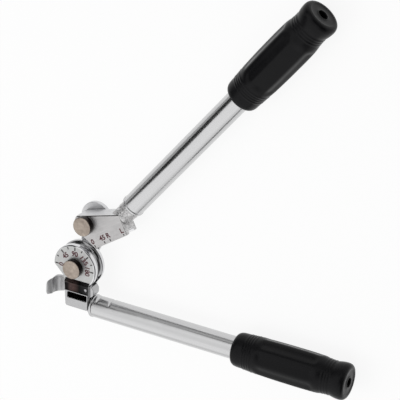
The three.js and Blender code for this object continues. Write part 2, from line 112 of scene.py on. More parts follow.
camera_data = bpy.data.cameras.new("studio_camera")
camera_data.sensor_width = sensor_width
camera_data.lens = focal_pixels / picture_pixels * sensor_width
camera_data.clip_start = 0.05
camera = bpy.data.objects.new("studio_camera", camera_data)
turned = Matrix((image_right, image_up, towards_camera)).transposed()
camera.matrix_world = Matrix.Translation(camera_place) @ turned.to_4x4()
bpy.context.scene.collection.objects.link(camera)
bpy.context.scene.camera = camera
bpy.context.scene.view_settings.view_transform = "Standard"
print("lens: %.0f mm" % camera_data.lens)

# %% [markdown]
# Most pieces here are turned or cut from plate, so two helpers make their shapes: one
# spins a closed profile about Z, and the other raises an outline into a slab. A third
# cuts or joins shapes with the Boolean modifier, as a mill or a weld would, and heals
# what the cut leaves. More helpers draw arcs, round edges and make plain cutters.

# %% Shape helpers
def turn(profile, steps=128):
    """Spin a chain of (radius, height) points about Z."""
    bm = bmesh.new()
    chain = [bm.verts.new((radius, 0, height)) for radius, height in profile]
    edges = [bm.edges.new(pair) for pair in zip(chain, chain[1:])]
    if profile[0][0] > 0:
        edges.append(bm.edges.new((chain[-1], chain[0])))
    bmesh.ops.spin(bm, geom=chain + edges, cent=(0, 0, 0), axis=(0, 0, 1), angle=math.tau,
                   steps=steps, use_merge=True)
    bmesh.ops.remove_doubles(bm, verts=bm.verts, dist=0.001 * MM)
    bmesh.ops.recalc_face_normals(bm, faces=bm.faces)
    return bm


def raise_slab(outline, low, high):
    """Raise a closed outline from low to high."""
    bm = bmesh.new()
    base = bm.faces.new([bm.verts.new((x, y, low)) for x, y in outline])
    lifted = bmesh.ops.extrude_face_region(bm, geom=[base])["geom"]
    tops = [item for item in lifted if isinstance(item, bmesh.types.BMVert)]
    bmesh.ops.translate(bm, verts=tops, vec=(0, 0, high - low))
    bmesh.ops.recalc_face_normals(bm, faces=bm.faces)
    return bm


def arc(centre, radius, start, end, steps):
    """Points on an arc, with its angles in degrees."""
    angles = [math.radians(start + (end - start) * i / steps) for i in range(steps + 1)]
    return [(centre[0] + radius * math.cos(a), centre[1] + radius * math.sin(a)) for a in angles]


def as_object(name, bm, move=None):
    """Put a shape into the scene, moved if asked."""
    if move is not None:
        bmesh.ops.transform(bm, matrix=move, verts=bm.verts)
    mesh = bpy.data.meshes.new(name)
    bm.to_mesh(mesh)
    bm.free()
    piece = bpy.data.objects.new(name, mesh)
    bpy.context.scene.collection.objects.link(piece)
    return piece


def carve(piece, tools, operation="DIFFERENCE"):
    """Cut the tools out of a piece, or join them to it, and put the tools away."""
    for tool in tools:
        step = piece.modifiers.new("carve", "BOOLEAN")
        step.operation = operation
        step.solver = "EXACT"
        step.object = tool
    seen = piece.evaluated_get(bpy.context.evaluated_depsgraph_get())
    shaped = bpy.data.meshes.new_from_object(seen)
    piece.modifiers.clear()
    piece.data = shaped
    for tool in tools:
        bpy.data.objects.remove(tool)
    return heal(piece)


def heal(piece):
    """Merge the crumbs that a cut leaves, and close any pinhole."""
    crumb = 0.004 * MM
    bm = bmesh.new()
    bm.from_mesh(piece.data)
    bmesh.ops.remove_doubles(bm, verts=bm.verts, dist=crumb)
    bmesh.ops.dissolve_degenerate(bm, edges=bm.edges, dist=crumb)
    rims = [edge for edge in bm.edges if edge.is_boundary]
    bmesh.ops.holes_fill(bm, edges=rims, sides=0)
    bm.to_mesh(piece.data)
    bm.free()
    return piece


def round_edges(piece, width, angle):
    """Round every edge that is sharper than an angle."""
    bevel = piece.modifiers.new("soft edges", "BEVEL")
    bevel.width = width
    bevel.segments = 3
    bevel.limit_method = "ANGLE"
    bevel.angle_limit = math.radians(angle)
    bevel.use_clamp_overlap = False
    return piece


def widen(vert, factor):
    """Move a vertex away from the Z axis, or towards it."""
    vert.co.x *= factor
    vert.co.y *= factor


def round_bar(radius, low, high, x=0, y=0, steps=64):
    """A plain round bar or cutter along Z."""
    bm = turn([(0, low), (radius, low), (radius, high), (0, high)], steps)
    return as_object("bar", bm, Matrix.Translation((x, y, 0)))


def brick(x0, x1, y0, y1, z0, z1):
    """A plain block or cutter."""
    return as_object("brick", raise_slab([(x0, y0), (x1, y0), (x1, y1), (x0, y1)], z0, z1))


print("helpers ready")

# %% [markdown]
# A finished piece takes three more steps. Its mesh is moved to its place, so that the
# object itself stays at the origin. Where asked, its sharp edges are rounded, because
# a real edge always shows a thin line of light. Castings and plates are rounded before
# they are cut instead. Then the piece rides on its body and stands for the coarse
# solid, which still does the work of collision.

# %% Finish a piece
def dress(piece, place, material, node, edge=0, angle=35, others=()):
    """Set a piece in place, soften its edges, and let it stand for a node.

    Each of the others is a finish and a test of a face's centre and normal, in the
    piece's own frame. The first test that holds decides the finish of the face.
    """
    piece.name = "fine_" + node
    piece.data.materials.clear()
    for finish in [material] + [finish for finish, _ in others]:
        piece.data.materials.append(finish)
    for face in piece.data.polygons:
        face.use_smooth = True
        tests = [index + 1 for index, (_, test) in enumerate(others) if test(face.center, face.normal)]
        face.material_index = tests[0] if tests else 0
    piece.data.transform(place)
    piece.data.set_sharp_from_angle(angle=math.radians(angle))
    if edge:
        round_edges(piece, edge, angle)
    weighted = piece.modifiers.new("even shading", "WEIGHTED_NORMAL")
    weighted.mode = "FACE_AREA_WITH_ANGLE"
    weighted.keep_sharp = True
    body = next(name for name, nodes in frame["record"]["behaviour"]["bodies"].items() if node in nodes)
    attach(piece, body)
    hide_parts(node)
    print(piece.name, "on", body, "faces:", len(piece.data.polygons))
    return piece


# %% [markdown]
# Chrome is a mirror, so it is described by what breaks the mirror up: fine scratches
# from the polishing belt, and faint smears from handling. Both are shader groups,
# used with other values in each metal. Brushing is noise stretched along one
# direction. Smears are soft noise that changes the roughness a little. Two small
# helpers add the shader nodes and feed their sockets.

# %% Shader groups
def feed(tree, value, socket):
    """Give a socket a plain value, or link the output of another node to it."""
    if isinstance(value, bpy.types.NodeSocket):
        tree.links.new(value, socket)
    else:
        socket.default_value = value


def add_node(tree, kind, inputs, **settings):
    """Add a shader node, set it up and feed its inputs. Its outputs come back."""
    node = tree.nodes.new("ShaderNode" + kind)
    for name, value in settings.items():
        setattr(node, name, value)
    for socket, value in inputs.items():
        feed(tree, value, node.inputs[socket])
    return node.outputs


def new_group(name, inputs, output):
    """An empty group with named sockets, and the two ends to build between."""
    group = bpy.data.node_groups.new(name, "ShaderNodeTree")
    for socket, kind, value in inputs:
        made = group.interface.new_socket(socket, in_out="INPUT", socket_type="NodeSocket" + kind)
        if value is not None:
            made.default_value = value
    group.interface.new_socket(output, in_out="OUTPUT", socket_type="NodeSocketFloat")
    given = group.nodes.new("NodeGroupInput").outputs
    return group, given, group.nodes.new("NodeGroupOutput").inputs[output]


def brushing_group():
    group, given, result = new_group("brushing", [
        ("Vector", "Vector", None), ("Stretch", "Vector", (1, 1, 1)), ("Fineness", "Float", 900)], "Height")
    stretched = add_node(group, "VectorMath", {0: given["Vector"], 1: given["Stretch"]}, operation="MULTIPLY")
    grain = add_node(group, "TexNoise", {"Vector": stretched["Vector"], "Scale": given["Fineness"],
                                         "Detail": 3, "Roughness": 0.6})
    feed(group, grain["Fac"], result)
    return group


def smears_group():
    group, given, result = new_group("smears", [
        ("Vector", "Vector", None), ("Size", "Float", 60), ("Low", "Float", 0.2), ("High", "Float", 0.35)],
        "Value")
    cloud = add_node(group, "TexNoise", {"Vector": given["Vector"], "Scale": given["Size"],
                                         "Detail": 5, "Roughness": 0.65})
    spread = add_node(group, "MapRange", {"Value": cloud["Fac"], "From Min": 0.35, "From Max": 0.65,
                                          "To Min": given["Low"], "To Max": given["High"]})
    feed(group, spread["Result"], result)
    return group


brushing = brushing_group()
smears = smears_group()
print("groups:", brushing.name, smears.name)

# %% [markdown]
# One function makes every metal, so that all of them share the same grain and smears
# and differ only in their values: two colours that follow the grain, a range of
# roughness, and a relief. A metal can also take a painted reflection that changes
# along X.

# %% Metal maker
# Where the painted reflection along X starts and ends, across the front of the head.
painted_reflection_left = -10 * MM
painted_reflection_right = 18 * MM


def new_finish(name, metallic):
    """A new material, its nodes and its shader."""
    material = bpy.data.materials.new(name)
    material.use_nodes = True
    shader = material.node_tree.nodes["Principled BSDF"]
    shader.inputs["Metallic"].default_value = metallic
    return material, material.node_tree, shader


def tint(tree, shader, mask, colour, shade):
    """Let the colour run from one to another with a mask."""
    mixed = add_node(tree, "Mix", {"Factor": mask, "A": (*colour, 1), "B": (*shade, 1)}, data_type="RGBA")
    feed(tree, mixed["Result"], shader.inputs["Base Color"])


def relief(tree, shader, mask, strength, depth):
    """Let the surface rise and sink with a mask. The depth is in mm."""
    bump = add_node(tree, "Bump", {"Height": mask, "Strength": strength, "Distance": depth * MM})
    feed(tree, bump["Normal"], shader.inputs["Normal"])


def metal(name, colour, shade, roughness, grain, turn_by=0.0, stretch=(1, 1, 1), bump=0.1, fineness=900,
          depth=0.05):
    """Plated or bare metal: two colours, a roughness range and a brushed or cast grain."""
    material, tree, shader = new_finish(name, 1)
    places = add_node(tree, "TexCoord", {})["Object"]
    turned = add_node(tree, "Mapping", {"Vector": places, "Rotation": (0, 0, -turn_by)})["Vector"]
    fine = add_node(tree, "Group", {"Vector": turned, "Stretch": stretch, "Fineness": fineness},
                    node_tree=brushing)["Height"]
    cloud = add_node(tree, "Group", {"Vector": turned, "Low": roughness[0], "High": roughness[1]},
                     node_tree=smears)["Value"]
    rough = add_node(tree, "Math", {0: fine, 1: grain, 2: cloud}, operation="MULTIPLY_ADD")["Value"]
    feed(tree, rough, shader.inputs["Roughness"])
    tint(tree, shader, fine, colour, shade)
    relief(tree, shader, fine, bump, depth)
    return material


def add_ramp(tree, factor, stops, interpolation="LINEAR"):
    """A colour ramp with the given places and colours."""
    ramp = tree.nodes.new("ShaderNodeValToRGB")
    ramp.color_ramp.interpolation = interpolation
    while len(ramp.color_ramp.elements) < len(stops):
        ramp.color_ramp.elements.new(1.0)
    for stop, (place, colour) in zip(ramp.color_ramp.elements, stops):
        stop.position = place
        stop.color = (*colour, 1)
    feed(tree, factor, ramp.inputs["Fac"])
    return ramp.outputs["Color"]


def stain_along_x(material, stops):
    """Multiply a metal by a painted reflection whose colours change along X, across the front of the head."""
    tree = material.node_tree
    base = tree.nodes["Principled BSDF"].inputs["Base Color"]
    places = add_node(tree, "TexCoord", {})["Object"]
    x = add_node(tree, "SeparateXYZ", {"Vector": places})["X"]
    across = add_node(tree, "MapRange", {"Value": x, "From Min": painted_reflection_left,
                                         "From Max": painted_reflection_right})["Result"]
    ramp = add_ramp(tree, across, stops)
    with_painted_reflection = add_node(tree, "Mix", {"Factor": 1, "A": base.links[0].from_socket, "B": ramp},
                       data_type="RGBA", blend_type="MULTIPLY")
    feed(tree, with_painted_reflection["Result"], base)


print("metal maker ready")

# %% [markdown]
# The finishes differ as on the real tool: satin tubes, a polished rim, ground faces,
# brown pins and a rough cast neck. The groove of the rim is painted darker, as
# painted shade. The grain of the upper half is turned with that half. The ledge and
# the hollow of the head are mirrors that show the brown pin on the left and the dark
# room on the right. A painted reflection along X stands for that, since the real room
# isn't modelled. The sides of the pins and two lines on the shoe are painted near
# black, as painted shade and dark reflection.

# %% Metals
lower_chrome, upper_chrome = [
    metal("satin_chrome_" + half, (0.62, 0.62, 0.625), (0.56, 0.56, 0.565), (0.13, 0.19), 0.05,
          turn_by=half_turn, stretch=(0.02, 1, 1), bump=0.12, fineness=600)
    for half, half_turn in (("lower", 0.0), ("upper", shoe_turn + handle_turn))]
polished = metal("polished_chrome", (0.76, 0.76, 0.77), (0.66, 0.66, 0.67), (0.06, 0.12), 0.03, bump=0.06)
latch_chrome = metal("latch_chrome", (0.58, 0.58, 0.585), (0.5, 0.5, 0.505), (0.46, 0.54), 0.06, bump=0.2,
                     fineness=300)
# Painted shade: the groove of the former gets a darker chrome than its rim, with about the same roughness.
groove_painted_shade = metal("groove_painted_shade", (0.41, 0.41, 0.415), (0.33, 0.33, 0.335), (0.08, 0.14), 0.04,
                      bump=0.08)
scale_face = metal("scale_face", (0.64, 0.64, 0.635), (0.52, 0.525, 0.52), (0.4, 0.5), 0.1, bump=0.4,
                   fineness=420)
shoe_face = metal("shoe_face", (0.61, 0.6, 0.6), (0.5, 0.49, 0.49), (0.38, 0.48), 0.1,
                  turn_by=shoe_turn, stretch=(0.15, 1, 1), bump=0.35, fineness=500)
link_face = metal("link_face", (0.78, 0.78, 0.79), (0.68, 0.68, 0.69), (0.4, 0.5), 0.08,
                  turn_by=shoe_turn, stretch=(0.2, 1, 1), bump=0.3)
pin_steel = metal("pin_steel", (0.62, 0.54, 0.46), (0.16, 0.125, 0.11), (0.3, 0.4), 0.12, bump=0.15,
                  fineness=190)
# Painted shade and dark reflection: near black, for the sides of the pin heads, a line along the top edge of the
# shoe and the seam at its neck.
painted_shade_and_dark_reflection = metal("painted_shade_and_dark_reflection", (0.014, 0.012, 0.011), (0.04, 0.03, 0.028), (0.24, 0.34), 0.08, bump=0.2)
cast_chrome = metal("cast_chrome", (0.95, 0.94, 0.94), (0.12, 0.12, 0.12), (0.16, 0.3), 0.12, bump=1.0,
                    fineness=420, depth=0.9)
ledge_painted_reflection, hollow_painted_shade_and_reflection = [
    metal(name, (0.9, 0.9, 0.9), (0.4, 0.4, 0.4), (0.16, 0.26), 0.1, bump=0.3, fineness=260,
          stretch=(0.35, 1.4, 1)) for name in ("ledge_painted_reflection", "hollow_painted_shade_and_reflection")]
head_chrome = metal("head_chrome", (0.5, 0.5, 0.505), (0.42, 0.42, 0.425), (0.14, 0.24), 0.06, bump=0.5,
                    fineness=420, depth=0.15)
plain_steel = metal("plain_steel", (0.5, 0.5, 0.51), (0.42, 0.42, 0.43), (0.32, 0.42), 0.1, bump=0.3)

# Painted reflection: the ledge and the hollow are darkened along X, brown where the pin would show in them and
# black where the dark room would.
stain_along_x(ledge_painted_reflection, [
    (0.0, (0.16, 0.16, 0.16)), (0.12, (0.2, 0.17, 0.165)), (0.2, (0.2, 0.14, 0.13)),
    (0.46, (0.17, 0.115, 0.11)), (0.6, (0.03, 0.03, 0.03)), (1.0, (0.1, 0.1, 0.105))])
stain_along_x(hollow_painted_shade_and_reflection, [
    (0.0, (0.01, 0.01, 0.01)), (0.15, (0.02, 0.018, 0.018)), (0.26, (0.11, 0.075, 0.07)),
    (0.4, (0.1, 0.065, 0.06)), (0.62, (0.012, 0.012, 0.012)), (1.0, (0.05, 0.05, 0.052))])
print("metals made:", len(bpy.data.materials))

# %% [markdown]
# The grips are soft black moulding. Black rubber is never quite black: it has a dull
# sheen, and a very fine pebbled skin that softens every highlight. The numbers are
# stamped and filled with dark red paint, and the ticks with black. Paint that is wiped
# into a stamp is thin and uneven at its edges.

# %% Black moulding and filled numbers
def black_moulding():
    material, tree, shader = new_finish("black_grip", 0)
    places = add_node(tree, "TexCoord", {})["Object"]
    pebbles = add_node(tree, "TexNoise", {"Vector": places, "Scale": 1600, "Detail": 2})["Fac"]
    cloud = add_node(tree, "Group", {"Vector": places, "Size": 35, "Low": 0.26, "High": 0.36},
                     node_tree=smears)["Value"]
    feed(tree, cloud, shader.inputs["Roughness"])
    shader.inputs["Specular IOR Level"].default_value = 0.13
    tint(tree, shader, pebbles, (0.003, 0.003, 0.0035), (0.006, 0.006, 0.007))
    relief(tree, shader, pebbles, 0.2, 0.04)
    return material


def filled_paint(name, colour, worn):
    material, tree, shader = new_finish(name, 0)
    places = add_node(tree, "TexCoord", {})["Object"]
    cloud = add_node(tree, "TexNoise", {"Vector": places, "Scale": 900, "Detail": 3})["Fac"]
    wear = add_node(tree, "MapRange", {"Value": cloud, "From Min": 0.45, "From Max": 0.65})["Result"]
    tint(tree, shader, wear, colour, worn)
    shader.inputs["Roughness"].default_value = 0.55
    return material


black_grip = black_moulding()
red_fill = filled_paint("red_fill", (0.05, 0.003, 0.008), (0.12, 0.018, 0.026))
dark_fill = filled_paint("dark_fill", (0.008, 0.005, 0.006), (0.03, 0.018, 0.018))
print("black moulding and paints made")

# %% [markdown]
# The two handle tubes are drawn steel with a rolled lip at the head end. The lower one
# is staked to the head by two short dents in its side. The dents are pressed by
# moving the nearest vertices inward, so the metal sinks with soft shoulders, which a
# cutter would not give. The rings of vertices are dense only where the dents are.

# %% Handle tubes
tube_wall = 1.8 * MM
tube_lip = 0.5 * MM
lip_length = 3 * MM
lip_round = 0.6 * MM
lip_shoulder = 1.1 * MM
grip_end_wall = 6 * MM
ring_spacing = 0.4 * MM
first_dent = 6.6 * MM
dent_spacing = 13.7 * MM
dent_depth = 1.7 * MM
dent_half_length = 1.3 * MM
dent_side = -math.pi / 2
dent_half_angle = math.radians(47)


def press_dents(bm, places):
    """Press short dents into one side of a tube."""
    for vert in bm.verts:
        radius = math.hypot(vert.co.x, vert.co.y)
        if radius < handle_radius - 0.5 * MM:
            continue
        turned_by = abs(math.atan2(vert.co.y, vert.co.x) - dent_side) / dent_half_angle
        sunk = sum(math.exp(-((vert.co.z - place) / dent_half_length) ** 2 * 2) for place in places)
        sunk *= max(0.0, 1 - turned_by ** 4)
        widen(vert, 1 - dent_depth * sunk / radius)


def handle_tube(node, start, grip_start, place, material, dents=()):
    length = grip_start + grip_length - grip_end_wall - start
    inner = handle_radius - tube_wall
    outer = handle_radius + tube_lip
    rings = [lip_length + ring_spacing * i for i in range(62)]
    profile = [(inner, length), (inner, 0.5 * MM), (inner + 0.2 * MM, 0.1 * MM), (inner + 0.6 * MM, 0)]
    profile += arc((outer - lip_round, lip_round), lip_round, -90, 0, 5)
    profile += arc((outer - lip_shoulder, lip_length - 1.3 * MM), lip_shoulder, 0, 65, 5)
    profile += [(handle_radius, z) for z in rings + [length]]
    bm = turn(profile, 160)
    if dents:
        press_dents(bm, dents)
    return dress(as_object(node, bm, Matrix.Translation((0, 0, start))), place, material, node)


handle_tube("lower_tube", lower_tube_start, lower_grip_start, at_lower_handle, lower_chrome,
            (first_dent, first_dent + dent_spacing))
handle_tube("upper_tube", upper_tube_start, upper_grip_start, at_upper_handle, upper_chrome)

# %% [markdown]
# A grip is a swelling tube of rubber: a rounded collar, four thin ribs, a body with
# eight long flutes, a ribbed waist and a flared end with a round hole. The profile is
# a smooth curve through a few radii, with the ribs added as a wave. It is spun, and
# then the flutes are pressed in by moving vertices, deepest midway between two ridges.

# %% Grips
body_radii = [(0, 0.72), (0.006, 0.79), (0.018, 0.85), (0.035, 0.885), (0.06, 0.9), (0.1, 0.905),
              (0.15, 0.915), (0.2, 0.945), (0.25, 0.972), (0.33, 0.988), (0.45, 0.999), (0.58, 1.0),
              (0.68, 0.992), (0.735, 0.978), (0.775, 0.94), (0.81, 0.9), (0.84, 0.885), (0.87, 0.885),
              (0.9, 0.92), (0.93, 0.948), (0.955, 0.955), (0.975, 0.935), (0.99, 0.885), (0.998, 0.81),
              (1, 0.74)]
# Each band has the shares of the length where it starts and ends, its ribs and their height.
rib_bands = [(0.105, 0.195, 4, 0.02), (0.8, 0.872, 3, 0.016)]
flute_depth = 1.3 * MM
flute_count = 8
flute_start = 0.215
flute_end = 0.7
hole_radius = 4.6 * MM


def smooth_step(x):
    x = min(1.0, max(0.0, x))
    return x * x * (3 - 2 * x)


def curve_through(points, x):
    """A smooth curve through points, without overshoot: cubic pieces with capped slopes."""
    k = max(i for i in range(len(points) - 1) if points[i][0] <= x or i == 0)

    def rise(i):
        (x0, y0), (x1, y1) = points[i], points[i + 1]
        return (y1 - y0) / (x1 - x0)

    def slope(i):
        if i == 0:
            return rise(0)
        if i == len(points) - 1:
            return rise(i - 1)
        left, right = rise(i - 1), rise(i)
        return 0 if left * right <= 0 else 2 * left * right / (left + right)

    (x0, y0), (x1, y1) = points[k], points[k + 1]
    span = x1 - x0
    t = (x - x0) / span
    return ((1 + 2 * t) * (1 - t) ** 2 * y0 + t * (1 - t) ** 2 * span * slope(k)
            + t * t * (3 - 2 * t) * y1 + t * t * (t - 1) * span * slope(k + 1))


def ribs_at(x):
    wave = 0
    for start, end, count, height in rib_bands:
        if start <= x <= end:
            wave += height * (0.5 - 0.5 * math.cos(math.tau * count * (x - start) / (end - start)))
    return wave


def grip(node, start, place):
    bore = handle_radius + play
    end_wall = grip_length - grip_end_wall + gap
    steps = 200
    shares = sorted({i / steps for i in range(steps + 1)} | {x for x, _ in body_radii})
    profile = [(grip_radius * (curve_through(body_radii, x) + ribs_at(x)), grip_length * x) for x in shares]
    end_radius = profile[-1][0]
    dish = 0.5 * MM
    profile += [(end_radius - 1.2 * MM, grip_length), (end_radius - 2 * MM, grip_length - dish),
                (hole_radius + 2.2 * MM, grip_length - dish), (hole_radius + 1.4 * MM, grip_length),
                (hole_radius + 0.5 * MM, grip_length), (hole_radius, grip_length - dish)]
    profile += [(hole_radius, end_wall), (bore, end_wall), (bore, 0)]
    bm = turn(profile, 192)
    for vert in bm.verts:
        share = vert.co.z / grip_length
        radius = math.hypot(vert.co.x, vert.co.y)
        if radius < bore + MM or share > 0.9:
            continue
        fade = smooth_step((share - flute_start) / 0.06) * (1 - smooth_step((share - flute_end) / 0.07))
        wave = 0.5 - 0.5 * math.cos(flute_count * math.atan2(vert.co.y, vert.co.x))
        widen(vert, 1 - flute_depth * fade * wave ** 0.8 / radius)
    return dress(as_object(node, bm, Matrix.Translation((0, 0, start))), place, black_grip, node)


grip("lower_grip", lower_grip_start, at_lower_handle)
grip("upper_grip", upper_grip_start, at_upper_handle)

# %% [markdown]
# The former is the wheel that the tube bends round. Its groove is half the tube, cut
# in the rim, and its polished edges are rolled over, which gives the black and white
# crescents in the photograph. Below, a square foot fills the fork of the head, and a
# heel is cut away where the straight leg of the tube lies.

# %% Former
rim_round = 1.8 * MM
foot_left = 8 * MM
foot_right = 12.5 * MM
foot_depth = 23.6 * MM
heel_shares = [(-1.02, 0), (-0.94, -0.06), (-0.53, -0.45), (-0.43, -0.72), (-0.43, -1.3), (-1.4, -1.3),
               (-1.4, 0)]
bore_radius = 5.2 * MM


def former():
    dip = math.degrees(math.acos((bend_radius - former_radius) / groove_radius))
    profile = [(bore_radius, -half_width)]
    profile += arc((former_radius - rim_round, rim_round - half_width), rim_round, -90, 0, 8)
    profile += arc((bend_radius, 0), groove_radius, 180 + dip, 180 - dip, 28)
    profile += arc((former_radius - rim_round, half_width - rim_round), rim_round, 0, 90, 8)
    profile += [(bore_radius, half_width)]
    piece = as_object("former", turn(profile, 180))
    foot = brick(-foot_left, foot_right, -foot_depth, -former_radius * 0.6, -half_width, half_width)
    carve(piece, [foot], "UNION")
    heel = [(x * former_radius, y * former_radius) for x, y in heel_shares]
    carve(piece, [as_object("heel", raise_slab(heel, -2 * half_width, 2 * half_width))])
    carve(piece, [round_bar(bore_radius, -2 * half_width, 2 * half_width)])

    def is_side(centre, normal):
        return abs(normal.z) < 0.98

    def in_groove(centre, normal):
        reach = math.hypot(math.hypot(centre.x, centre.y) - bend_radius, centre.z)
        return centre.y > -former_radius * 0.8 and reach < groove_radius * 1.03

    # The groove takes the painted shade, and the sides the polished chrome.
    return dress(piece, at_main_pin, scale_face, "former_wheel", angle=30,
                 others=[(groove_painted_shade, in_groove), (polished, is_side)])


former()

# %% [markdown]
# The pins are turned steel with broad flat heads. What holds the link on them is seen
# only from below: a washer and an open snap ring on each. They are turned and cut the
# same way, once for each pin.

# %% Pins, washers and snap rings
pin_radius = 5 * MM
head_radius = 9.5 * MM
head_height = 6.4 * MM
head_seat = half_width + play
thrust_thickness = 0.6 * MM
link_thickness = 4.5 * MM
washer_radius = 9 * MM
washer_thickness = 1 * MM
ring_thickness = 1 * MM
link_front = half_width + play + thrust_thickness + play
link_rear = link_front + link_thickness
washer_front = link_rear + play
ring_front = washer_front + washer_thickness


def pin(node, place):
    soft = 0.7 * MM
    top = head_seat + head_height
    neck = pin_radius - 1.2 * MM
    profile = [(0, -middle), (pin_radius - 0.6 * MM, -middle), (pin_radius, 0.6 * MM - middle),
               (pin_radius, -ring_front - ring_thickness - play), (neck, -ring_front - ring_thickness - play),
               (neck, -ring_front), (pin_radius, -ring_front), (pin_radius, head_seat)]
    profile += arc((head_radius - 0.3 * MM, head_seat + 0.3 * MM), 0.3 * MM, -90, 0, 3)
    profile += arc((head_radius - soft, top - soft), soft, 0, 90, 6)
    profile += [(head_radius * 0.6, top), (head_radius * 0.3, top), (0, top)]

    # Painted shade: the sides of the head are painted near black, where the dark room would show in them.
    def on_side(centre, normal):
        return abs(normal.z) < 0.5 and centre.z > head_seat and centre.z < top - 0.4 * MM

    return dress(as_object(node, turn(profile)), place, pin_steel, node, others=[(painted_shade_and_dark_reflection, on_side)])


def washer(node, place, front, thickness):
    soft = 0.15 * MM
    profile = [(bore_radius, -front - thickness), (washer_radius - soft, -front - thickness),
               (washer_radius, soft - front - thickness), (washer_radius, -front - soft),
               (washer_radius - soft, -front), (bore_radius, -front)]
    return dress(as_object(node, turn(profile)), place, plain_steel, node)


def snap_ring(node, place):
    tooth = 4 * MM
    hollow = 4.35 * MM
    spans = [(6.8 * MM, 35, 325, 40), (tooth, 325, 300, 4), (hollow, 290, 202, 12), (tooth, 192, 168, 4),
             (hollow, 158, 70, 12), (tooth, 60, 35, 4)]
    outline = [point for span in spans for point in arc((0, 0), *span)]
    bm = raise_slab(outline, -ring_front - ring_thickness, -ring_front)
    return dress(as_object(node, bm), place, plain_steel, node, edge=0.12 * MM, angle=40)


for which, place in (("main", at_main_pin), ("shoe", along_link @ Matrix.Translation((link_length, 0, 0)))):
    pin(which + "_pin", place)
    washer(which + "_thrust_washer", place, half_width + play, thrust_thickness)
    washer(which + "_washer", place, washer_front, washer_thickness)
    snap_ring(which + "_snap_ring", place)

# %% [markdown]
# The link is a waisted plate behind the head that joins the two pins. Its outline is
# two rounds with a hollow curve between them on each side.

# %% Link plate
link_lower_round = 13 * MM
link_upper_round = 16 * MM
waist_left = 10.5 * MM
waist_right = 14.5 * MM
link_lean = 40


def bent_edge(start, control, end, steps=16):
    """Points of a curve from start to end that is drawn towards one control point."""
    points = []
    for i in range(1, steps):
        t = i / steps
        points.append(tuple((1 - t) ** 2 * a + 2 * t * (1 - t) * b + t * t * c
                            for a, b, c in zip(start, control, end)))
    return points


def link_plate():
    lower = arc((0, 0), link_lower_round, link_lean, 360 - link_lean, 48)
    upper = arc((link_length, 0), link_upper_round, link_lean - 180, 180 - link_lean, 48)
    outline = lower + bent_edge(lower[-1], (link_length / 2, -waist_right), upper[0])
    outline += upper + bent_edge(upper[-1], (link_length / 2, waist_left), lower[0])
    piece = round_edges(as_object("link", raise_slab(outline, -link_rear, -link_front)), 0.6 * MM, 40)
    holes = [round_bar(bore_radius, -2 * link_rear, 0, x) for x in (0, link_length)]
    carve(piece, holes)
    return dress(piece, along_link, link_face, "link_plate", angle=40)


link_plate()

# %% [markdown]
# The shoe is cast in one with the neck of the upper handle. It is drawn flat, with the
# tube line along X and its pin at zero: a round end about the pin, a long straight
# edge with the groove, and a sloping back. The neck goes inside the handle tube.

# %% Shoe
shoe_round = 12 * MM
top_height = 9.1 * MM
top_slope = math.radians(18.8)
heel_length = 2.3 * MM
toe_length = 38.5 * MM
shoulder_length = 41 * MM
toe_height = 9.9 * MM
toe_lean = 1 * MM
neck_radius = 9.3 * MM
shank_radius = 9 * MM
seam_length = 1.3 * MM
seam_depth = 1.1 * MM
edge_line = bend_radius - former_radius - shoe_pin_height


def lumpy_neck(low, high):
    """The neck as it was cast, uneven, with a slight collar where the tube begins."""
    rings = 40
    top = high - seam_length
    heights = [low + (top - low) * i / rings for i in range(rings + 1)]
    seam_radius = neck_radius - seam_depth
    profile = [(0, low)] + [(neck_radius, z) for z in heights]
    bm = turn(profile + [(seam_radius, top), (seam_radius, high), (0, high)], 96)
    for vert in bm.verts:
        if math.hypot(vert.co.x, vert.co.y) > neck_radius / 2:
            lump = 1.3 * noise.noise(vert.co * 260) + noise.noise(vert.co * 560)
            bare = smooth_step((vert.co.z - toe_length) / (4 * MM) + 1)
            widen(vert, 1 + bare * (0.45 * MM * lump + 0.1 * MM) / neck_radius)
    return as_object("neck", bm)


